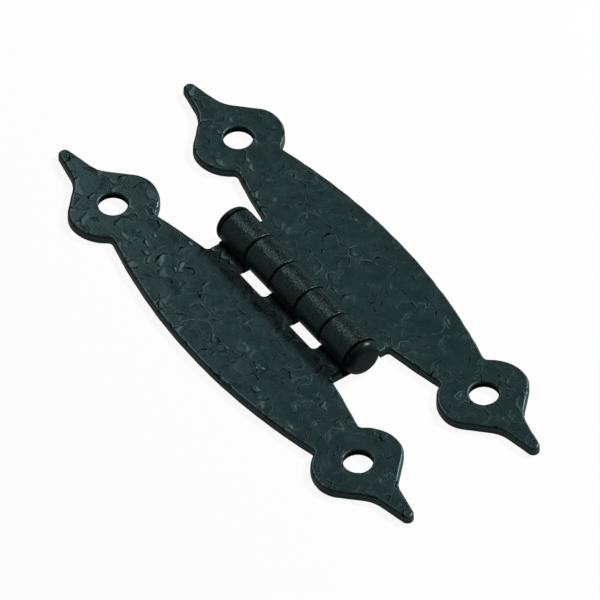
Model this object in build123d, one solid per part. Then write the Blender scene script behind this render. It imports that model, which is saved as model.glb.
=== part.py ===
"""H-shaped surface hinge: two stamped steel leaves with spear-shaped ends, rolled onto one riveted pin.

Frame: +X along the pin, +Y across the leaves, +Z out of the front face. The origin lies on the plane of
the leaves' back faces, under the middle of the pin. The three-knuckle leaf is on -Y and the two-knuckle
leaf on +Y, both lying flat, as on a closed door. All sizes are in millimetres.
"""

import os
from math import asin, cos, degrees, hypot, radians, sin, sqrt

from build123d import *

# Sheet steel and pin
SHEET = 1.4  # thickness of both leaves
PIN_DIAMETER = 3.2
PIN_CLEARANCE = 0.05  # radial, between pin and rolled knuckle

# Leaf outline
LEAF_LENGTH = 89.0  # tip to tip
LEAF_OFFSET = 11.4  # pin axis to each leaf's centre line
BODY_HALF_WIDTH = 7.45  # middle of the bowed body
NECK_HALF_WIDTH = 4.15  # where the body meets the spade
NECK_INSET = 5.75  # along the leaf, from the screw hole towards the middle
NECK_RADIUS = 0.8  # inside corner between body and spade
EDGE_ROUND = 0.5  # hammered-over front edge of the outline

# Spear-shaped end: a spade round the screw hole, running out to a blunt point
SPADE_HALF_WIDTH = 7.3
SPADE_BACK_RADIUS = 6.0  # cheek towards the body
SPADE_FRONT_RADIUS = 4.4  # cheek towards the point
SHOULDER_ANGLE = 45.0  # slope of the straight shoulder
POINT_ANGLE = 11.5  # half angle of the point
POINT_RADIUS = 1.0  # blunt nose
OGEE_RADIUS = 5.4  # hollow curve between shoulder and point

# Screw holes
HOLE_INSET = 13.35  # along the leaf, from its tip
HOLE_DIAMETER = 4.4
HOLE_ROUND = 0.3  # front rim, drawn in by the punch

# Barrel
KNUCKLE_COUNT = 5
BARREL_LENGTH = 31.5
KNUCKLE_GAP = 0.25  # between neighbouring knuckles
KNUCKLE_ROUND = 0.2  # broken edge at the ends of each knuckle
ROLL_LIFT = 0.15  # cut end of the roll above the leaf's front face
TAB_CORNER_RADIUS = 0.6  # inside corner between body and barrel tab
WINDOW_CORNER_RADIUS = 0.7
WINDOW_GAP = 1.15  # three-knuckle leaf: its windows to the side of the other leaf's knuckles
WINDOW_END_GAP = 0.35  # and to their ends
NOTCH_GAP = 0.7  # two-knuckle leaf: its notches to the side of the other leaf's knuckles

# Pin heads
HEAD_GAP = 0.3  # end play between head and knuckle, at each end
HEAD_INSET = 0.05  # head radius below barrel radius
FORMED_HEAD_THICKNESS = 1.25  # at +X
FORMED_HEAD_ROUND = 0.95
PEENED_HEAD_THICKNESS = 1.05  # at -X
PEENED_HEAD_ROUND = 0.8

# Sizes that follow
BORE_RADIUS = PIN_DIAMETER / 2 + PIN_CLEARANCE
BARREL_RADIUS = BORE_RADIUS + SHEET
KNUCKLE_PITCH = BARREL_LENGTH / KNUCKLE_COUNT
AXIS_HEIGHT = BARREL_RADIUS  # barrel bottom is level with the back faces
HOLE_X = LEAF_LENGTH / 2 - HOLE_INSET
NECK_X = HOLE_X - NECK_INSET
BOW_RISE = BODY_HALF_WIDTH - NECK_HALF_WIDTH
BOW_RADIUS = (NECK_X**2 + BOW_RISE**2) / (2 * BOW_RISE)
THREE_KNUCKLE_SLOTS = range(0, KNUCKLE_COUNT, 2)
TWO_KNUCKLE_SLOTS = range(1, KNUCKLE_COUNT, 2)
PICK = 0.01  # distance within which a point counts as the one looked for


def slot_ends(slot):
    """The x range of one knuckle: a slot of the barrel, less half a gap at each inner end."""
    start = -BARREL_LENGTH / 2 + slot * KNUCKLE_PITCH
    end = start + KNUCKLE_PITCH
    low = start if slot == 0 else start + KNUCKLE_GAP / 2
    high = end if slot == KNUCKLE_COUNT - 1 else end - KNUCKLE_GAP / 2
    return low, high


def spade():
    """Spear-shaped end, in a frame with the screw hole at the origin and the point along +X."""
    shoulder, point = radians(SHOULDER_ANGLE), radians(POINT_ANGLE)
    front_centre = Vector(0, SPADE_HALF_WIDTH - SPADE_FRONT_RADIUS)
    back_centre = Vector(0, SPADE_HALF_WIDTH - SPADE_BACK_RADIUS)
    nose_centre = Vector(HOLE_INSET - POINT_RADIUS, 0)
    shoulder_start = front_centre + Vector(sin(shoulder), cos(shoulder)) * SPADE_FRONT_RADIUS
    nose_tangent = nose_centre + Vector(sin(point), cos(point)) * POINT_RADIUS
    # The shoulder line and the flank of the point run on to one corner, which the ogee rounds
    along_shoulder = Vector(cos(shoulder), -sin(shoulder))
    along_flank = Vector(-cos(point), sin(point))
    span = nose_tangent - shoulder_start
    reach = span.cross(along_flank).Z / along_shoulder.cross(along_flank).Z
    ogee_corner = shoulder_start + along_shoulder * reach
    back_sweep = 90 + degrees(asin(back_centre.Y / SPADE_BACK_RADIUS))
    with BuildSketch() as face:
        with BuildLine():
            CenterArc(back_centre, SPADE_BACK_RADIUS, 90, back_sweep)
            CenterArc(front_centre, SPADE_FRONT_RADIUS, 90 - SHOULDER_ANGLE, SHOULDER_ANGLE)
            FilletPolyline(shoulder_start, ogee_corner, nose_tangent, radius=OGEE_RADIUS)
            CenterArc(nose_centre, POINT_RADIUS, 0, 90 - POINT_ANGLE)
            mirror(about=Plane.XZ)
        make_face()
    return face.sketch


def bowed_body():
    """Body between the two screw holes, bowed alike on both sides."""
    centre = BOW_RADIUS - BODY_HALF_WIDTH
    lens = Pos(0, -centre) * Circle(BOW_RADIUS) & Pos(0, centre) * Circle(BOW_RADIUS)
    return lens & Rectangle(2 * HOLE_X, 2 * BODY_HALF_WIDTH)


def leaf_outline(tab_reach):
    """Outline on the leaf's own centre line, with its barrel tab towards +Y."""
    end = Pos(HOLE_X, 0) * spade()
    plan = bowed_body() + end + mirror(end, about=Plane.YZ)
    necks = plan.vertices().filter_by(lambda v: abs(v.X) < HOLE_X - PICK)
    plan = fillet(necks, NECK_RADIUS)
    tab = Pos(0, tab_reach / 2) * Rectangle(BARREL_LENGTH, tab_reach)
    plan = plan + tab
    bow_at_tab = BODY_HALF_WIDTH - BOW_RADIUS + sqrt(BOW_RADIUS**2 - (BARREL_LENGTH / 2) ** 2)
    corners = plan.vertices().filter_by(
        lambda v: hypot(abs(v.X) - BARREL_LENGTH / 2, v.Y - bow_at_tab) < PICK
    )
    return fillet(corners, TAB_CORNER_RADIUS)


def plate(tab_reach):
    """Flat part of a leaf, front edge hammered over, with its two screw holes."""
    blank = extrude(leaf_outline(tab_reach), SHEET)
    front = blank.faces().sort_by(Axis.Z)[-1]
    rim = front.outer_wire().edges().filter_by(lambda e: e.center().Y < tab_reach - PICK)
    blank = fillet(rim, EDGE_ROUND)
    for side in (-1, 1):
        blank -= Pos(side * HOLE_X, 0, SHEET / 2) * Cylinder(HOLE_DIAMETER / 2, 2 * SHEET)
    hole_rims = blank.faces().sort_by(Axis.Z)[-1].inner_wires().edges()
    return fillet(hole_rims, HOLE_ROUND)


def roll(low, high, strip_reach):
    """One knuckle: a strip that leaves the leaf, passes under the pin and is rolled over it."""
    end_height = SHEET + ROLL_LIFT
    end_angle = degrees(asin((AXIS_HEIGHT - end_height) / BARREL_RADIUS))
    ring = Circle(BARREL_RADIUS) - Circle(BORE_RADIUS)
    opening = make_face(
        Polyline(
            (0, 0),
            Vector(-4 * BARREL_RADIUS, 0).rotate(Axis.Z, end_angle),
            (-4 * BARREL_RADIUS, -4 * BARREL_RADIUS),
            (0, -4 * BARREL_RADIUS),
            close=True,
        )
    )
    strip = Pos(-strip_reach / 2, SHEET / 2 - AXIS_HEIGHT) * Rectangle(strip_reach, SHEET)
    # Section drawn in the Y-Z plane, then drawn out along the pin
    section = Plane.YZ * (ring - opening)
    curl = Pos(low, 0, AXIS_HEIGHT) * extrude(section, high - low)
    outer_edges = curl.edges().filter_by(GeomType.CIRCLE).filter_by(
        lambda e: abs(e.radius - BARREL_RADIUS) < PICK
    )
    curl = fillet(outer_edges, KNUCKLE_ROUND)
    flat = Pos(low, 0, AXIS_HEIGHT) * extrude(Plane.YZ * strip, high - low)
    return curl + flat


def window(low, high, reach):
    """Opening in the barrel tab for a knuckle of the other leaf, with rounded inner corners."""
    plan = Pos((low + high) / 2, -reach / 2) * Rectangle(high - low, reach)
    corners = plan.vertices().sort_by(Axis.Y)[:2]
    return extrude(fillet(corners, WINDOW_CORNER_RADIUS), SHEET, both=True)


def three_knuckle_leaf():
    """Leaf on -Y: its tab runs to the barrel, with a window for each knuckle of the other leaf."""
    leaf = Pos(0, -LEAF_OFFSET, 0) * plate(LEAF_OFFSET)
    reach = BARREL_RADIUS + WINDOW_GAP
    for slot in TWO_KNUCKLE_SLOTS:
        low, high = slot_ends(slot)
        leaf -= window(low - WINDOW_END_GAP, high + WINDOW_END_GAP, reach)
    for slot in THREE_KNUCKLE_SLOTS:
        leaf += roll(*slot_ends(slot), BARREL_RADIUS)
    return leaf


def two_knuckle_leaf():
    """Leaf on +Y: its tab stops short of the barrel, and only its own knuckles reach the pin."""
    reach = BARREL_RADIUS + NOTCH_GAP
    leaf = Pos(0, -LEAF_OFFSET, 0) * plate(LEAF_OFFSET - reach)
    for slot in TWO_KNUCKLE_SLOTS:
        leaf += roll(*slot_ends(slot), reach)
    return mirror(leaf, about=Plane.XZ)


def pin_head(thickness, rounding):
    """Round head with a flat end, its seat on the plane X = 0 and its end towards +X."""
    radius = BARREL_RADIUS - HEAD_INSET
    disc = Rot(0, 90, 0) * Cylinder(radius, thickness, align=(Align.CENTER, Align.CENTER, Align.MIN))
    return fillet(disc.edges().sort_by(Axis.X)[-1], rounding)


def hinge_pin():
    """Plain pin with a formed head at +X and a peened one at -X."""
    seat = BARREL_LENGTH / 2 + HEAD_GAP
    pin = Rot(0, 90, 0) * Cylinder(PIN_DIAMETER / 2, 2 * seat)
    pin += Pos(seat, 0, 0) * pin_head(FORMED_HEAD_THICKNESS, FORMED_HEAD_ROUND)
    peened = pin_head(PEENED_HEAD_THICKNESS, PEENED_HEAD_ROUND)
    pin += Pos(-seat, 0, 0) * mirror(peened, about=Plane.YZ)
    return Pos(0, 0, AXIS_HEIGHT) * pin


def main():
    os.makedirs("parts", exist_ok=True)
    pieces = {
        "three_knuckle_leaf": three_knuckle_leaf(),
        "two_knuckle_leaf": two_knuckle_leaf(),
        "hinge_pin": hinge_pin(),
    }
    for name, piece in pieces.items():
        export_step(piece, os.path.join("parts", name + ".step"))
        print(name, "volume", round(piece.volume, 1), "solids", len(piece.solids()))


main()
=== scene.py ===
# %% [markdown]
# # A hammered H hinge
# Two sheet-steel leaves with spear-shaped ends are rolled round one riveted pin and painted a dark satin
# green-black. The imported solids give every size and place. This lesson hammers their flat fronts, finishes
# the two heads of the pin, paints all three pieces and sets up a small studio round them.

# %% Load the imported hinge
import math

import bmesh
import bpy
import numpy as np
from mathutils import Matrix, Vector


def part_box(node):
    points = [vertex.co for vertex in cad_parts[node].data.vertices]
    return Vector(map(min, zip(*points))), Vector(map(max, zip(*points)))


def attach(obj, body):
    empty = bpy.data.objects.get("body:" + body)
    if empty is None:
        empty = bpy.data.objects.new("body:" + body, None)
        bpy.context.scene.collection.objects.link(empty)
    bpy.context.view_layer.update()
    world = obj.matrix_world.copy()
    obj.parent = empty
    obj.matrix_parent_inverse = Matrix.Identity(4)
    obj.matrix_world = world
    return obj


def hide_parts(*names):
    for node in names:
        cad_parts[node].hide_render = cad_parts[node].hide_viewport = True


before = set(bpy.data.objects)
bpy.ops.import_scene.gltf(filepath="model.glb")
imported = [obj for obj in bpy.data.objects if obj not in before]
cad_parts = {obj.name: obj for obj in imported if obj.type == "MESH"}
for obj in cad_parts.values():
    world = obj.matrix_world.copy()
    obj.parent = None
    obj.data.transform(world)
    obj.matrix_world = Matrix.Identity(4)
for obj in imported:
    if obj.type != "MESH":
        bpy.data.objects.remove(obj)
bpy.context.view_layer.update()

# %% [markdown]
# Blender works in metres and a hinge is thought of in millimetres, so the pieces are shaped in millimetres
# and brought back to metres at the end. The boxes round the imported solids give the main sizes: the barrel is
# as high as the leaf, and its half height is also its radius. A size that no box shows, such as the thickness
# of the sheet, is written down where it is first needed.

# %% Sizes read from the frame
MM = 0.001
SHEET = 1.4
leaf_low, leaf_high = (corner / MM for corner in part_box("three_knuckle_leaf"))
pin_low, pin_high = (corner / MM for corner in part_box("hinge_pin"))
LEAF_HALF_LENGTH = leaf_high.x
LEAF_REACH = -leaf_low.y
BARREL_RADIUS = leaf_high.z / 2
print("leaf", round(2 * LEAF_HALF_LENGTH, 2), "mm long, barrel radius", round(BARREL_RADIUS, 2), "mm")

# %% [markdown]
# The hinge is seen from its right-hand end and well above. Opposite edges of the leaves stay parallel, which
# means a long lens from far away, so the camera gets both. It looks at a point just above the pin's middle
# to put the hinge where it stands in the picture.

# %% Camera
AZIMUTH, ELEVATION = math.radians(54.4), math.radians(48.4)
LENS, SENSOR = 1200, 36
CAMERA_DISTANCE = 2955.4 * MM
AIM_RIGHT, AIM_UP = 0.35 * MM, 0.59 * MM

view_right = Vector((math.cos(AZIMUTH), math.sin(AZIMUTH), 0))
view_back = Vector((math.sin(AZIMUTH) * math.cos(ELEVATION), -math.cos(AZIMUTH) * math.cos(ELEVATION),
                    math.sin(ELEVATION)))
view_up = view_back.cross(view_right)

camera = bpy.data.objects.new("camera", bpy.data.cameras.new("camera"))
camera.data.lens, camera.data.sensor_width = LENS, SENSOR
camera.data.clip_end = 2 * CAMERA_DISTANCE
camera.matrix_world = Matrix((view_right, view_up, view_back)).transposed().to_4x4()
camera.location = view_right * AIM_RIGHT + view_up * AIM_UP + view_back * CAMERA_DISTANCE
bpy.context.scene.collection.objects.link(camera)
bpy.context.scene.camera = camera
bpy.context.scene.view_settings.view_transform = "Standard"
print("camera at", [round(c, 3) for c in camera.location])

# %% [markdown]
# ## The hammered leaves
# A leaf is stamped from sheet and its front is then beaten with a ball hammer. A bump texture could fake the
# blows, but it leaves the edges straight and shows no real hollows from the side. Here the leaf's own mesh is
# cut into a fine grid and pressed down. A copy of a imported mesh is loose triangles, so it is merged first,
# and its flat triangles are joined into large faces that cut cleanly.

# %% Copy a packed leaf into a bmesh
DOUBLES = 1e-4
FLAT_ANGLE = math.radians(0.3)


def merged_copy(node):
    """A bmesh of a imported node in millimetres, with its triangles joined up."""
    bm = bmesh.new()
    bm.from_mesh(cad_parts[node].data)
    bmesh.ops.scale(bm, vec=(1 / MM,) * 3, verts=bm.verts)
    bmesh.ops.remove_doubles(bm, verts=bm.verts, dist=DOUBLES)
    bmesh.ops.dissolve_limit(bm, angle_limit=FLAT_ANGLE, verts=bm.verts, edges=bm.edges)
    print(node, "merged into", len(bm.faces), "faces")
    return bm


print("points within", DOUBLES, "mm of each other are merged")

# %% [markdown]
# Cutting a whole mesh hundreds of times is slow. Cutting it across the middle, then each half across its own
# middle, and so on, touches every face only a few times. Only the faces that show on the plate are cut: the
# front, its rounded rim and the walls. The barrel and the flat back stay as they are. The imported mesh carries
# the normals of a flat plate, which would hide the blows, so they are taken off.

# %% Cut the plate into a fine grid
GRID = 0.13
PLATE_START = BARREL_RADIUS + 0.15
BACK_BAND = 0.02


def plate_faces(bm):
    """The faces of the plate's front, rim and walls, clear of the barrel and the back."""
    chosen = []
    for face in bm.faces:
        middle = face.calc_center_median()
        if abs(middle.y) > PLATE_START and middle.z > BACK_BAND:
            chosen.append(face)
    return chosen


def cut_in_halves(bm, faces, axis, low, high):
    """Cuts faces across one axis at every grid step between low and high."""
    steps = round((high - low) / GRID)
    if steps < 2 or not faces:
        return
    middle = low + (steps // 2) * GRID
    plane = [0, 0, 0]
    plane[axis] = 1
    edges = list(dict.fromkeys(edge for face in faces for edge in face.edges))
    verts = list(dict.fromkeys(vert for face in faces for vert in face.verts))
    cut = bmesh.ops.bisect_plane(bm, geom=verts + edges + faces, dist=DOUBLES,
                                 plane_co=[middle * part for part in plane], plane_no=plane)
    pieces = [item for item in cut["geom"] if isinstance(item, bmesh.types.BMFace)]
    below = [face for face in pieces if face.calc_center_median()[axis] < middle]
    above = [face for face in pieces if face.calc_center_median()[axis] >= middle]
    cut_in_halves(bm, below, axis, low, middle)
    cut_in_halves(bm, above, axis, middle, high)


def gridded_leaf(node, side):
    """A merged leaf whose plate is cut into grid squares; side is -1 or 1 for its half of the hinge."""
    bm = merged_copy(node)
    cut_in_halves(bm, plate_faces(bm), 0, -LEAF_HALF_LENGTH, LEAF_HALF_LENGTH)
    low, high = sorted((side * PLATE_START, side * LEAF_REACH))
    cut_in_halves(bm, plate_faces(bm), 1, low, high)
    mesh = bpy.data.meshes.new("hammered_" + node)
    bm.to_mesh(mesh)
    bm.free()
    mesh.attributes.remove(mesh.attributes["custom_normal"])
    print(mesh.name, "has", len(mesh.vertices), "vertices")
    return mesh


print("the plate is cut every", GRID, "mm, from", round(PLATE_START, 2), "mm beside the pin's line outwards")

# %% [markdown]
# Nothing that is beaten by hand is quite round or straight. A few sine waves of different lengths and
# directions, added up, give a gentle wander that is the same on every run. It bends the edges of the blows
# here and the outline of the leaf further down.

# %% A seeded wander
def wander_waves(rng, lengths):
    """One wave for each length in millimetres, in a random direction and phase."""
    turns = rng.uniform(0, 2 * math.pi, len(lengths))
    phases = rng.uniform(0, 2 * math.pi, len(lengths))
    return [(2 * math.pi / length * math.cos(turn), 2 * math.pi / length * math.sin(turn), phase)
            for length, turn, phase in zip(lengths, turns, phases)]


def wander(x, y, waves):
    """The sum of the waves at each point, about -1 to 1."""
    total = sum(np.sin(step_x * x + step_y * y + phase) for step_x, step_y, phase in waves)
    return total / math.sqrt(len(waves))


trial_waves = wander_waves(np.random.default_rng(1), (3.0, 5.0, 8.0))
trial = wander(np.linspace(0, LEAF_HALF_LENGTH, 100), 0.0, trial_waves)
print("a trial wander runs from", round(trial.min(), 2), "to", round(trial.max(), 2))

# %% [markdown]
# A hammer never falls twice in the same way. The blows land about two millimetres apart with no order, and
# each has its own size, direction and depth. They are drawn with a seed, so every run beats the leaf alike.

# %% Where the blows fall
BLOW_SPACING = 2.2
BLOW_JITTER = 0.9
BLOW_RADIUS = (0.9, 1.8)
BLOW_DEPTH = (0.05, 0.12)
BLOW_START = (0.0, 0.55)
BLOW_BITE = (0.65, 1.0)


def hammer_blows(rng, side):
    """Every blow on one leaf as it falls: x, y, radius, direction, depth, start, bite and lip paleness."""
    columns = np.arange(-LEAF_HALF_LENGTH, LEAF_HALF_LENGTH + BLOW_SPACING, BLOW_SPACING)
    rows = side * np.arange(0, LEAF_REACH + BLOW_SPACING, BLOW_SPACING)
    places = np.stack(np.meshgrid(columns, rows), -1).reshape(-1, 2)
    places = rng.permutation(places + rng.uniform(-BLOW_JITTER, BLOW_JITTER, places.shape))
    spreads = (BLOW_RADIUS, (0, 2 * math.pi), BLOW_DEPTH, BLOW_START, BLOW_BITE, (0, 1))
    drawn = [rng.uniform(low, high, len(places)) for low, high in spreads]
    return list(zip(*places.T, *drawn))


print("blows fall", BLOW_SPACING, "mm apart and press at most", BLOW_DEPTH[1], "mm")

# %% [markdown]
# One blow leaves a shallow, tilted hollow: its deep side ends in a short steep step shaped like a crescent,
# and its shallow side runs out to nothing. Each blow only presses down what still stands above it, as a real
# hammer does. It wipes out the older marks under it, and leaves a crease in its step and a low lip along the
# top of the step.

# %% What the blows leave
STEP_WIDTH = 0.18
STEP_FULL = 0.022
CREASE_BAND = (0.09, 0.165)
LIP_BAND = (-0.09, 0.12)
LIP_HEIGHT = 0.015
BAND_STEEPNESS = 1.7
WARP = 0.14


def smooth_step(start, end, value):
    """0 before start, 1 past end, and an even curve between; start may be the larger."""
    part = np.clip((value - start) / (end - start), 0, 1)
    return part * part * (3 - 2 * part)


def band(value, middle, half_width):
    """1 over the middle of a band, falling evenly to 0 at its two sides."""
    return np.clip(BAND_STEEPNESS * (1 - np.abs(value - middle) / half_width), 0, 1)


def hammered(x, y, blows, warps):
    """Height of the beaten front at x, y, never above 0, and how much of a crease and a lip is there."""
    x, y = x + WARP * wander(x, y, warps[0]), y + WARP * wander(x, y, warps[1])
    height, crease, lip = np.zeros_like(x), np.zeros_like(x), np.zeros_like(x)
    for blow_x, blow_y, radius, turn, depth, start, bite, lip_paleness in blows:
        inside = radius - np.hypot(x - blow_x, y - blow_y)
        hit = np.nonzero(inside > LIP_BAND[0] - LIP_BAND[1])[0]
        inside = inside[hit]
        along = ((x[hit] - blow_x) * math.cos(turn) + (y[hit] - blow_y) * math.sin(turn)) / radius
        fall = np.maximum(height[hit] + depth * (along - start) / (1 - start), 0)
        pressed = smooth_step(0, STEP_WIDTH, inside)
        step = np.clip(fall / STEP_FULL, 0, 1)
        older = 1 - pressed * step
        height[hit] -= pressed * fall
        # painted shade: the crease mask later darkens the paint's colour along the step
        crease[hit] = np.maximum(crease[hit] * older, bite * step * band(inside, *CREASE_BAND))
        # painted highlight: the lip mask later paints the top of the step pale, partly as wear
        lip[hit] = np.maximum(lip[hit] * older, lip_paleness * step * band(inside, *LIP_BAND))
    return np.minimum(height + LIP_HEIGHT * lip, 0), crease, lip


print("the step at the deep side of a blow is", STEP_WIDTH, "mm wide")

# %% [markdown]
# The walls of a leaf wander a little, always inwards, so the leaf stays inside its imported solid. They stay
# true round the screw holes and along the barrel, where the knuckles need their room. The wall of a screw
# hole is darkened with painted shade, and its edge at the back is torn a little wider, as a punch leaves it.

# %% Outline and screw holes
RIM_WANDER = 0.08
RIM_LENGTHS = (2.1, 2.7, 3.9, 5.3, 7.7, 11.0)
WINDOW_HALF_LENGTH = 17.0
WINDOW_DEPTH = 6.0
HOLE_X, HOLE_Y, HOLE_CLEAR = 31.15, 11.4, 3.1
HOLE_FADE = 0.4
HOLE_SHADE_BAND = (SHEET - 0.2, SHEET - 0.35)
HOLE_BREAKOUT = 0.15


def to_hole(x, y):
    """Distance from the axis of the nearest screw hole."""
    return np.hypot(np.abs(x) - HOLE_X, np.abs(y) - HOLE_Y)


def rim_freedom(x, y):
    """1 where the outline may wander, 0 round the screw holes and along the barrel."""
    hole = smooth_step(HOLE_CLEAR - HOLE_FADE, HOLE_CLEAR, to_hole(x, y))
    tab = (np.abs(x) > WINDOW_HALF_LENGTH) | (np.abs(y) > WINDOW_DEPTH)
    return hole * tab


def rim_wander(x, y, waves):
    """How far the outline is drawn in at each point, in millimetres."""
    return RIM_WANDER * np.clip(0.5 + 0.5 * wander(x, y, waves), 0, 1) * rim_freedom(x, y)


def hole_shade_and_breakout(x, y, z):
    """Painted shade on a hole's wall at each point, and its shift in x and y at the hole's back edge."""
    distance = to_hole(x, y)
    in_hole = distance < HOLE_CLEAR
    # painted shade: the hole's wall below its rounded top is darkened in colour
    painted_shade = smooth_step(*HOLE_SHADE_BAND, z) * in_hole
    torn = HOLE_BREAKOUT * in_hole * (z < BACK_BAND) / distance
    return painted_shade, torn * (x - np.sign(x) * HOLE_X), torn * (y - np.sign(y) * HOLE_Y)


print("walls wander by at most", RIM_WANDER, "mm and holes break out by", HOLE_BREAKOUT, "mm at the back")

# %% [markdown]
# All of this is put on in one pass over the vertices. Each vertex of the front drops by the beaten height,
# which fades out down the rounded rim and towards the barrel. Creases, the lips beside them and the rounded
# rims are kept as attributes, so that the paint gets painted shade in the first, a pale colour that is part
# wear and part painted highlight on the second, and a dull scuff on the third. Lips are pale in slow patches.

# %% Press the blows into a leaf
RIM_ROUND = 0.5
RIM_BAND = (0.65, 0.4)
BARREL_FADE = (BARREL_RADIUS + 0.3, BARREL_RADIUS + 1.6)
WARP_LENGTHS = (1.1, 1.5, 2.1, 2.9)
PALE_LIP_LENGTHS = (9.0, 13.0, 19.0)
PALE_LIP_MIDDLE, PALE_LIP_SWING = 0.5, 0.6


def press_blows(mesh, side, seed):
    """Moves the vertices of a gridded leaf and gives it the crease, lip and rim attributes."""
    rng = np.random.default_rng(seed)
    place = np.empty((len(mesh.vertices), 3), np.float32)
    normal = np.empty_like(place)
    mesh.vertices.foreach_get("co", place.ravel())
    mesh.vertex_normals.foreach_get("vector", normal.ravel())
    x, y, z = place.astype(float).T
    plate = (np.abs(y) > PLATE_START) & (z < SHEET + DOUBLES)
    on_front = smooth_step(SHEET - RIM_ROUND, SHEET, z) * smooth_step(*BARREL_FADE, np.abs(y)) * plate
    on_wall = np.hypot(normal[:, 0], normal[:, 1])
    blows = hammer_blows(rng, side)
    warps = [wander_waves(rng, WARP_LENGTHS) for _ in range(2)]
    height, crease, lip = hammered(x, y, blows, warps)
    # painted highlight: lips are painted pale in slow patches, partly as wear and partly as a highlight
    pale_lip_wander = wander(x, y, wander_waves(rng, PALE_LIP_LENGTHS))
    pale_lip_patches = np.clip(PALE_LIP_MIDDLE + PALE_LIP_SWING * pale_lip_wander, 0, 1)
    inwards = rim_wander(x, y, wander_waves(rng, RIM_LENGTHS)) * plate * on_wall
    painted_shade, out_x, out_y = hole_shade_and_breakout(x, y, z)
    place[:, 0] += out_x - inwards * normal[:, 0]
    place[:, 1] += out_y - inwards * normal[:, 1]
    place[:, 2] += height * on_front
    mesh.vertices.foreach_set("co", (place * MM).ravel())
    masks = {"crease": np.maximum(crease * on_front, painted_shade), "lip": lip * pale_lip_patches * on_front,
             "rim": plate * band(on_wall, *RIM_BAND)}
    for name, values in masks.items():
        mesh.attributes.new(name, "FLOAT", "POINT").data.foreach_set("value", values.astype(np.float32))
    print(mesh.name, "pressed up to", round(-height.min(), 3), "mm by", len(blows), "blows")


print("the blows fade out over", RIM_ROUND, "mm of rim")

# %% [markdown]
# Each leaf has its own seed, so the two are not copies of each other. Smooth shading with sharp edges past a
# set angle keeps the hollows soft and the cut edges at the back crisp. The back is one large face that runs
# into the barrel's curve, so it is shaded flat, or the curve's slant would smear across it. A finished leaf
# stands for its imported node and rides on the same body.

# %% Make both leaves
SHARP_ANGLE = math.radians(42)
FLAT_BACK = -0.9999
LEAVES = (("three_knuckle_leaf", "fixed_leaf", -1, 11), ("two_knuckle_leaf", "swing_leaf", 1, 23))


def add_piece(mesh, name, body, node):
    """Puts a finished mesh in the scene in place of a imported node."""
    mesh.shade_smooth()
    mesh.set_sharp_from_angle(angle=SHARP_ANGLE)
    for face in mesh.polygons:
        face.use_smooth = face.normal.z > FLAT_BACK
    piece = bpy.data.objects.new(name, mesh)
    bpy.context.scene.collection.objects.link(piece)
    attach(piece, body)
    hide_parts(node)
    return piece


leaves = []
for node, body, side, seed in LEAVES:
    mesh = gridded_leaf(node, side)
    press_blows(mesh, side, seed)
    leaves.append(add_piece(mesh, "hammered_" + node, body, node))
print("made", [leaf.name for leaf in leaves])

# %% [markdown]
# ## The pin
# The pin is a plain rod with a head formed at one end and the other end peened over once the knuckles are on.
# Its profile, from the middle of one end face to the middle of the other, is a line of a few vertices. Spin
# turns it round the pin's axis, and the bevel rounds each head's rim.

# %% Turn the pin
PIN_RADIUS = 1.6
HEAD_RADIUS = pin_high.y
FORMED_HEAD, PEENED_HEAD = 1.25, 1.05
FORMED_ROUND, PEENED_ROUND = 1.2, 0.9
PIN_SIDES = 96
ROUND_SEGMENTS = 10
axis_point = Vector((0, 0, BARREL_RADIUS))


def turned_pin():
    """A bmesh of the pin, spun round its own axis, in millimetres."""
    bm = bmesh.new()
    profile = ((pin_low.x, 0), (pin_low.x, HEAD_RADIUS), (pin_low.x + PEENED_HEAD, HEAD_RADIUS),
               (pin_low.x + PEENED_HEAD, PIN_RADIUS), (pin_high.x - FORMED_HEAD, PIN_RADIUS),
               (pin_high.x - FORMED_HEAD, HEAD_RADIUS), (pin_high.x, HEAD_RADIUS), (pin_high.x, 0))
    line = [bm.verts.new((x, radius, BARREL_RADIUS)) for x, radius in profile]
    edges = [bm.edges.new(pair) for pair in zip(line, line[1:])]
    bmesh.ops.spin(bm, geom=line + edges, cent=axis_point, axis=(1, 0, 0), angle=2 * math.pi,
                   steps=PIN_SIDES, use_merge=True)
    bmesh.ops.remove_doubles(bm, verts=bm.verts, dist=DOUBLES)
    bmesh.ops.recalc_face_normals(bm, faces=bm.faces)
    return bm


def round_rim(bm, end_x, width):
    """Bevels the rim of the head whose end face stands at end_x."""
    def on_rim(vert):
        from_axis = (vert.co - axis_point).yz.length
        return abs(vert.co.x - end_x) < DOUBLES and from_axis > HEAD_RADIUS - DOUBLES

    rim = [edge for edge in bm.edges if all(on_rim(vert) for vert in edge.verts)]
    bmesh.ops.bevel(bm, geom=rim, offset=width, segments=ROUND_SEGMENTS, profile=0.5, affect="EDGES",
                    material=-1)


pin = turned_pin()
round_rim(pin, pin_low.x, PEENED_ROUND)
round_rim(pin, pin_high.x, FORMED_ROUND)
bmesh.ops.scale(pin, vec=(MM,) * 3, verts=pin.verts)
pin_mesh = bpy.data.meshes.new("riveted_pin")
pin.to_mesh(pin_mesh)
pin.free()
riveted_pin = add_piece(pin_mesh, "riveted_pin", "fixed_leaf", "hinge_pin")
print("pin has", len(pin_mesh.polygons), "faces")

# %% [markdown]
# ## Paint
# Both materials start from the same satin paint, so what they share is a node group. It takes a place in
# millimetres and gives a slow mottle, a fine orange peel for the bump, and a scatter of tiny pale specks that
# stand for dust in the film and for painted glints. Only some of the cells are picked to hold a speck.

# %% Paint film group
MOTTLE_SCALE, PEEL_SCALE, SPECK_SCALE = 0.45, 3.2, 1.3
SPECK_EDGE = (0.10, 0.04)
SPECK_PICK = (0.70, 0.95)


def add_socket(group, name, kind, direction, default=None):
    """One named socket on a node group."""
    socket = group.interface.new_socket(name, in_out=direction, socket_type="NodeSocket" + kind)
    if default is not None:
        socket.default_value = default
    return socket


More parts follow.
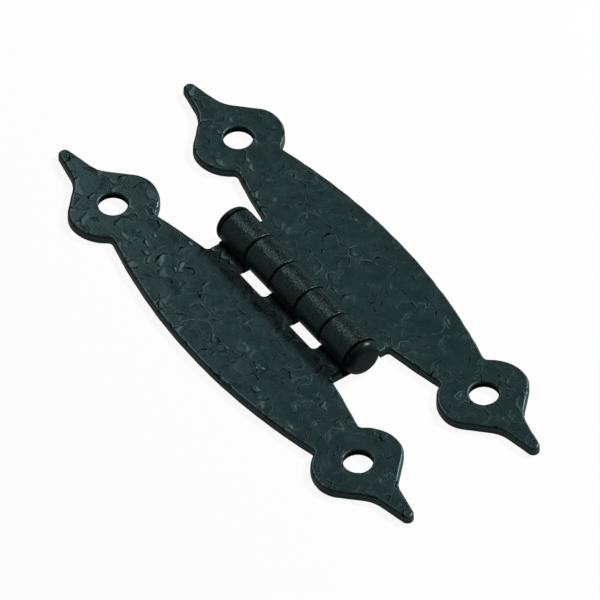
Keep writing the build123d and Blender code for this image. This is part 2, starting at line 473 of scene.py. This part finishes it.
def add_node(tree, kind, **settings):
    """A node with its settings, and with the inputs that are named by index or name in inputs."""
    inputs = settings.pop("inputs", {})
    node = tree.nodes.new(kind)
    for key, value in settings.items():
        setattr(node, key, value)
    for key, value in inputs.items():
        if isinstance(value, bpy.types.NodeSocket):
            tree.links.new(value, node.inputs[key])
        else:
            node.inputs[key].default_value = value
    return node


def calc(tree, operation, *values):
    """The result of one math node on numbers and sockets."""
    return add_node(tree, "ShaderNodeMath", operation=operation, inputs=dict(enumerate(values))).outputs[0]


def ramp(tree, value, start, end, low=0.0, high=1.0):
    """A value that runs from low at start to high at end, and stays there beyond them."""
    return add_node(tree, "ShaderNodeMapRange",
                    inputs={"Value": value, 1: start, 2: end, 3: low, 4: high}).outputs[0]


def noise(tree, place, scale, detail, roughness=0.5):
    """The value of a noise texture, with its scale in waves to the millimetre."""
    return add_node(tree, "ShaderNodeTexNoise", inputs={
        "Vector": place, "Scale": scale, "Detail": detail, "Roughness": roughness}).outputs[0]


def outputs_of(group):
    """The names of a node group's outputs."""
    return [socket.name for socket in group.interface.items_tree if socket.in_out == "OUTPUT"]


def paint_film():
    """Node group: mottle, peel and specks (dust and painted glints) of a sprayed satin paint."""
    group = bpy.data.node_groups.new("paint_film", "ShaderNodeTree")
    add_socket(group, "Millimetres", "Vector", "INPUT")
    for name in ("Mottle", "Peel", "Specks"):
        add_socket(group, name, "Float", "OUTPUT")
    place = add_node(group, "NodeGroupInput").outputs["Millimetres"]
    mottle = noise(group, place, MOTTLE_SCALE, detail=4, roughness=0.6)
    peel = noise(group, place, PEEL_SCALE, detail=3, roughness=0.55)
    speck_cells = add_node(group, "ShaderNodeTexVoronoi", inputs={"Vector": place, "Scale": SPECK_SCALE}).outputs
    chance = add_node(group, "ShaderNodeSeparateXYZ", inputs={0: speck_cells["Color"]}).outputs[0]
    near = ramp(group, speck_cells["Distance"], *SPECK_EDGE)
    # painted highlight: the pale specks stand partly for dust in the film and partly for tiny glints
    specks = calc(group, "MULTIPLY", near, ramp(group, chance, *SPECK_PICK))
    add_node(group, "NodeGroupOutput", inputs={"Mottle": mottle, "Peel": peel, "Specks": specks})
    return group


film_group = paint_film()
print("group", film_group.name, "gives", outputs_of(film_group))

# %% [markdown]
# The lips are painted pale, partly as worn paint and partly as a painted highlight along their tops; the rims
# are scuffed dull; the creases get painted shade and are dull. The second group takes the paint's colours,
# its mottle and specks and the three masks, and gives the colour and the roughness.

# %% Wear and painted light group
MOTTLE_BAND = (0.3, 0.7)
CREASE_PAINTED_SHADE = (0.05, 0.07, 0.07, 1)
LIP_WEAR_AND_HIGHLIGHT = 0.7
UNEVEN = 0.12
CREASE_DULL, RIM_DULL = 0.65, 0.3


def mix_colour(tree, factor, first, second, how="MIX"):
    """Two colours mixed by a factor, or the first changed by the second in another way."""
    return add_node(tree, "ShaderNodeMix", data_type="RGBA", blend_type=how,
                    inputs={0: factor, 6: first, 7: second}).outputs[2]


def paint_wear_and_light():
    """Node group: colour, roughness; painted shade in creases, worn lips with painted highlight, dull rims."""
    group = bpy.data.node_groups.new("paint_wear_and_light", "ShaderNodeTree")
    for name in ("Mottle", "Lip", "Crease", "Rim", "Specks"):
        add_socket(group, name, "Float", "INPUT", 0.0)
    for name in ("Dark Paint", "Light Paint", "Pale Wear And Highlight"):
        add_socket(group, name, "Color", "INPUT")
    add_socket(group, "Roughness", "Float", "INPUT", 0.4)
    add_socket(group, "Color", "Color", "OUTPUT")
    add_socket(group, "Roughness", "Float", "OUTPUT")
    given = add_node(group, "NodeGroupInput").outputs
    mottle = ramp(group, given["Mottle"], *MOTTLE_BAND)
    film = mix_colour(group, mottle, given["Dark Paint"], given["Light Paint"])
    # painted shade: multiplies the colour darker in creases, on hole walls and along the barrel's seams
    painted_shade = mix_colour(group, given["Crease"], film, CREASE_PAINTED_SHADE, "MULTIPLY")
    # pale lips: partly worn paint, partly a painted highlight along the top of the step
    lips_worn_and_highlighted = mix_colour(group, ramp(group, given["Lip"], 0, 1, 0, LIP_WEAR_AND_HIGHLIGHT), painted_shade, given["Pale Wear And Highlight"])
    # pale specks: dust and painted glints
    specked = mix_colour(group, given["Specks"], lips_worn_and_highlighted, given["Pale Wear And Highlight"])
    uneven = calc(group, "ADD", given["Roughness"], ramp(group, given["Mottle"], 0, 1, -UNEVEN, UNEVEN))
    dulled = calc(group, "ADD", uneven, ramp(group, given["Crease"], 0, 1, 0, CREASE_DULL))
    scuffed = calc(group, "ADD", dulled, ramp(group, given["Rim"], 0, 1, 0, RIM_DULL))
    add_node(group, "NodeGroupOutput", inputs={"Color": specked, "Roughness": scuffed})
    return group


wear_and_light_group = paint_wear_and_light()
print("group", wear_and_light_group.name, "gives", outputs_of(wear_and_light_group))

# %% [markdown]
# The plate is the hammered part of a leaf, and its paint reads the three masks that the hammering left on the
# mesh. The back is one large face, across which a mask would smear from corner to corner, so the masks count
# only above it.

# %% Plate paint
DARK_PAINT = (0.0090, 0.0250, 0.0248, 1)
LIGHT_PAINT = (0.0130, 0.0315, 0.0315, 1)
PALE_WEAR_AND_HIGHLIGHT_PAINT = (0.085, 0.130, 0.135, 1)
PLATE_ROUGHNESS = 0.25
ABOVE_BACK = 0.01


def add_group(tree, group, inputs):
    """The outputs of a node group placed in a material, with its inputs set or linked by name."""
    return add_node(tree, "ShaderNodeGroup", node_tree=group, inputs=inputs).outputs


def plate_paint(tree, film, height):
    """Worn paint of the hammered plate, with painted shade and highlights, and the mask of its creases."""
    above_back = calc(tree, "GREATER_THAN", height, ABOVE_BACK)
    inputs = {"Mottle": film["Mottle"], "Specks": film["Specks"], "Dark Paint": DARK_PAINT,
              "Light Paint": LIGHT_PAINT, "Pale Wear And Highlight": PALE_WEAR_AND_HIGHLIGHT_PAINT, "Roughness": PLATE_ROUGHNESS}
    for name in ("Lip", "Crease", "Rim"):
        stored = add_node(tree, "ShaderNodeAttribute", attribute_name=name.lower()).outputs["Fac"]
        inputs[name] = calc(tree, "MULTIPLY", stored, above_back)
    return add_group(tree, wear_and_light_group, inputs), inputs["Crease"]


print("plate paint is between", DARK_PAINT[:3], "and", LIGHT_PAINT[:3])

# %% [markdown]
# The barrel's outside is the sheet's unbeaten back. Its paint is thin and gritty and lets dark metal through,
# and a ragged line of painted shade darkens the seams between the knuckles. A ping-pong on the length gives
# the distance to the nearest seam, so one formula serves all five knuckles.

# %% Barrel paint
KNUCKLE = 6.3
BARREL_DARK = (0.0055, 0.0120, 0.0120, 1)
BARREL_LIGHT = (0.0120, 0.0235, 0.0235, 1)
BARREL_ROUGHNESS = 0.26
GRIT_SCALE = 3.2
SEAM_SHADE_RAGGED = 0.5
SEAM_SHADE_EDGE = (0.48, 0.38)
THIN_BAND = (0.35, 0.65)
THIN_BARE = (0.5, 0.1)


def barrel_paint(tree, film, place, along):
    """Worn paint of the rolled barrel, the mask of its bare metal and seam shade, and its grit."""
    grit = noise(tree, place, GRIT_SCALE, detail=2)
    to_seam = calc(tree, "PINGPONG", calc(tree, "ADD", along, KNUCKLE / 2), KNUCKLE / 2)
    # painted shade: a ragged dark line in the colour along each seam between the knuckles
    seam_shade = ramp(tree, calc(tree, "MULTIPLY_ADD", grit, SEAM_SHADE_RAGGED, to_seam), *SEAM_SHADE_EDGE)
    paint = add_group(tree, wear_and_light_group, {
        "Mottle": grit, "Crease": seam_shade, "Specks": film["Specks"], "Dark Paint": BARREL_DARK,
        "Light Paint": BARREL_LIGHT, "Pale Wear And Highlight": PALE_WEAR_AND_HIGHLIGHT_PAINT, "Roughness": BARREL_ROUGHNESS})
    thin = ramp(tree, grit, *THIN_BAND, *THIN_BARE)
    return paint, calc(tree, "MAXIMUM", thin, seam_shade), grit


print("a seam every", KNUCKLE, "mm along the barrel")

# %% [markdown]
# The leaf's material holds both paints, and a ramp on the distance from the pin's line tells them apart.
# Object coordinates are in metres, so they are scaled to millimetres first. The painted shade in creases,
# hole walls and seams, and the bare spots, are made metallic with a very dark colour so no lamp lights them.

# %% Leaf paint
LEAF_SPECULAR = 0.75
LEAF_TINT = (0.62, 0.98, 1.0, 1)
BARREL_EDGE = (BARREL_RADIUS + 0.3, BARREL_RADIUS + 0.05)
PEEL_SHARE, PEEL_LEVEL = 0.15, 0.425
LEAF_BUMP = 0.16 * MM
BUMP_STRENGTH = 0.6


def new_material(name, specular, tint):
    """A node material with a satin shader; gives it, its tree, its shader and the place in millimetres."""
    material = bpy.data.materials.new(name)
    material.use_nodes = True
    tree = material.node_tree
    shader = tree.nodes["Principled BSDF"]
    shader.inputs["Specular IOR Level"].default_value = specular
    shader.inputs["Specular Tint"].default_value = tint
    metres = add_node(tree, "ShaderNodeTexCoord").outputs["Object"]
    place = add_node(tree, "ShaderNodeVectorMath", operation="SCALE", inputs={0: metres, "Scale": 1 / MM})
    return material, tree, shader, place.outputs[0]


def mix_value(tree, factor, first, second):
    """Two values mixed by a factor."""
    return add_node(tree, "ShaderNodeMix", inputs={0: factor, 2: first, 3: second}).outputs[0]


def relief(tree, height, depth):
    """The normal of a bump that is depth metres deep."""
    return add_node(tree, "ShaderNodeBump",
                    inputs={"Height": height, "Distance": depth, "Strength": BUMP_STRENGTH}).outputs["Normal"]


def leaf_paint():
    """Satin paint on the hammered plate, and the thin, gritty paint of the barrel."""
    material, tree, shader, place = new_material("leaf_paint", LEAF_SPECULAR, LEAF_TINT)
    film = add_group(tree, film_group, {"Millimetres": place})
    axes = add_node(tree, "ShaderNodeSeparateXYZ", inputs={0: place}).outputs
    plate, crease = plate_paint(tree, film, axes["Z"])
    rolled, bare, grit = barrel_paint(tree, film, place, axes["X"])
    barrel = ramp(tree, calc(tree, "ABSOLUTE", axes["Y"]), *BARREL_EDGE)
    fine = calc(tree, "MULTIPLY_ADD", film["Peel"], PEEL_SHARE, PEEL_LEVEL)
    finish = {"Base Color": mix_colour(tree, barrel, plate["Color"], rolled["Color"]),
              "Roughness": mix_value(tree, barrel, plate["Roughness"], rolled["Roughness"]),
              "Metallic": mix_value(tree, barrel, crease, bare),
              "Normal": relief(tree, mix_value(tree, barrel, fine, grit), LEAF_BUMP)}
    for name, socket in finish.items():
        tree.links.new(socket, shader.inputs[name])
    return material


leaf_material = leaf_paint()
for leaf in leaves:
    leaf.data.materials.append(leaf_material)
print("painted", [leaf.name for leaf in leaves])

# %% [markdown]
# The pin is painted with the rest of the hinge, in a darker and duller coat. Nothing on it is hammered, so it
# has no creases, lips or scuffed rims, and its worn paint needs only the mottle and the specks.

# %% Pin paint
PIN_DARK = (0.0045, 0.0150, 0.0135, 1)
PIN_LIGHT = (0.0065, 0.0200, 0.0180, 1)
PIN_SPECULAR = 0.2
PIN_TINT = (0.75, 1.0, 0.95, 1)
PIN_ROUGHNESS = 0.34
PIN_BUMP = 0.03 * MM


def pin_paint():
    """The same satin paint on the pin."""
    material, tree, shader, place = new_material("pin_paint", PIN_SPECULAR, PIN_TINT)
    film = add_group(tree, film_group, {"Millimetres": place})
    worn = add_group(tree, wear_and_light_group, {
        "Mottle": film["Mottle"], "Specks": film["Specks"], "Dark Paint": PIN_DARK,
        "Light Paint": PIN_LIGHT, "Pale Wear And Highlight": PALE_WEAR_AND_HIGHLIGHT_PAINT, "Roughness": PIN_ROUGHNESS})
    tree.links.new(worn["Color"], shader.inputs["Base Color"])
    tree.links.new(worn["Roughness"], shader.inputs["Roughness"])
    tree.links.new(relief(tree, film["Peel"], PIN_BUMP), shader.inputs["Normal"])
    return material


riveted_pin.data.materials.append(pin_paint())
print("painted", riveted_pin.name)

# %% [markdown]
# ## The studio
# The hinge lies on a pale floor. Most of what the camera sees of the floor is a plain white of its own, so
# the picture's ground is white without flooding the hinge with light, and the rest is lit, which keeps a soft
# shadow. Reflections see a weaker white, and little light bounces off it on to the hinge.

# %% Floor
FLOOR_SIZE = 3.0
FLOOR_GAP = 0.05 * MM
FLOOR_WHITE, FLOOR_MIRRORED = 0.93, 0.2
FLOOR_PALE, FLOOR_BOUNCE = 0.9, 0.2
PLAIN_WHITE = (1, 1, 1, 1)


def seen_plainly(tree, seen):
    """1 for what the camera sees, directly or through something clear, and 0 for other light."""
    return calc(tree, "MAXIMUM", seen["Is Camera Ray"], seen["Is Transmission Ray"])


def floor_material():
    """A pale floor that shows itself mostly white to the camera."""
    material = bpy.data.materials.new("pale_floor")
    material.use_nodes = True
    tree = material.node_tree
    tree.nodes.remove(tree.nodes["Principled BSDF"])
    seen = add_node(tree, "ShaderNodeLightPath").outputs
    plain = seen_plainly(tree, seen)
    mirrored = calc(tree, "MULTIPLY", seen["Is Glossy Ray"], FLOOR_MIRRORED)
    share = mix_value(tree, plain, mirrored, FLOOR_WHITE)
    pale = mix_value(tree, plain, FLOOR_BOUNCE, FLOOR_PALE)
    lit = add_node(tree, "ShaderNodeBsdfDiffuse", inputs={"Color": pale}).outputs[0]
    white = add_node(tree, "ShaderNodeEmission", inputs={"Color": PLAIN_WHITE, "Strength": 1.0}).outputs[0]
    mix = add_node(tree, "ShaderNodeMixShader", inputs={0: share, 1: lit, 2: white}).outputs[0]
    tree.links.new(mix, tree.nodes["Material Output"].inputs["Surface"])
    return material


floor_bm = bmesh.new()
bmesh.ops.create_grid(floor_bm, x_segments=1, y_segments=1, size=FLOOR_SIZE / 2)
bmesh.ops.translate(floor_bm, vec=(0, 0, -FLOOR_GAP), verts=floor_bm.verts)
floor_mesh = bpy.data.meshes.new("floor")
floor_bm.to_mesh(floor_mesh)
floor_bm.free()
floor = bpy.data.objects.new("floor", floor_mesh)
floor.data.materials.append(floor_material())
bpy.context.scene.collection.objects.link(floor)
print("floor", FLOOR_SIZE, "m wide")

# %% [markdown]
# The camera sees a plain white backdrop past the floor. Reflections see it white along the horizon and dim
# overhead, where a studio has its dark ceiling, so the paint keeps its depth. What lights the hinge is weaker
# still, and leaves the work to the lamps.

# %% World
WORLD_LIGHT = 0.03
HORIZON, CEILING = 1.0, 0.05
HORIZON_TOP = 0.04


def studio_world():
    """A white backdrop with a dim ceiling in reflections, and a faint light on the hinge itself."""
    world = bpy.data.worlds.new("studio")
    world.use_nodes = True
    tree = world.node_tree
    seen = add_node(tree, "ShaderNodeLightPath").outputs
    direction = add_node(tree, "ShaderNodeTexCoord").outputs["Generated"]
    height = add_node(tree, "ShaderNodeSeparateXYZ", inputs={0: direction}).outputs["Z"]
    mirrored = ramp(tree, height, 0.0, HORIZON_TOP, HORIZON, CEILING)
    lit = mix_value(tree, seen["Is Glossy Ray"], WORLD_LIGHT, mirrored)
    strength = mix_value(tree, seen_plainly(tree, seen), lit, 1.0)
    tree.links.new(strength, tree.nodes["Background"].inputs["Strength"])
    tree.nodes["Background"].inputs["Color"].default_value = PLAIN_WHITE
    return world


bpy.context.scene.world = studio_world()
print("world lights the hinge at", WORLD_LIGHT)

# %% [markdown]
# One softbox and three weak cards light the hinge. The key stands high behind the far leaf, so the barrel's
# shadow falls on the near leaf. The cards show only where the paint mirrors them, so that shadow stays dark:
# one off the left end puts a sheen on the beaten face, one overhead draws a streak along the barrel, and a
# large one low on the near left fills the near side of the barrel and the near walls.

# %% Softboxes
def softbox(name, towards, distance, size, power):
    """An area light, width by height, that stands in the direction towards and faces the hinge."""
    light = bpy.data.lights.new(name, "AREA")
    light.shape, light.energy = "RECTANGLE", power
    light.size, light.size_y = size
    lamp = bpy.data.objects.new(name, light)
    direction = Vector(towards).normalized()
    lamp.location = direction * distance
    lamp.rotation_euler = direction.to_track_quat("Z", "Y").to_euler()
    lamp.visible_camera = False
    bpy.context.scene.collection.objects.link(lamp)
    return lamp


def card(name, **settings):
    """A weak softbox that shows only where the paint mirrors it."""
    softbox(name, **settings).visible_diffuse = False


softbox("key", towards=(0.1, 0.74, 0.67), distance=0.6, size=(0.08, 0.08), power=4.25)
card("sheen", towards=(-0.733, 0.186, 0.654), distance=0.376, size=(0.10, 0.10), power=0.066)
card("rim", towards=(-0.54, 0.06, 0.84), distance=0.45, size=(0.10, 0.10), power=0.13)
card("fill", towards=(-0.50, -0.62, 0.60), distance=0.45, size=(0.30, 0.50), power=0.14)
print("lights", [light.name for light in bpy.data.lights])
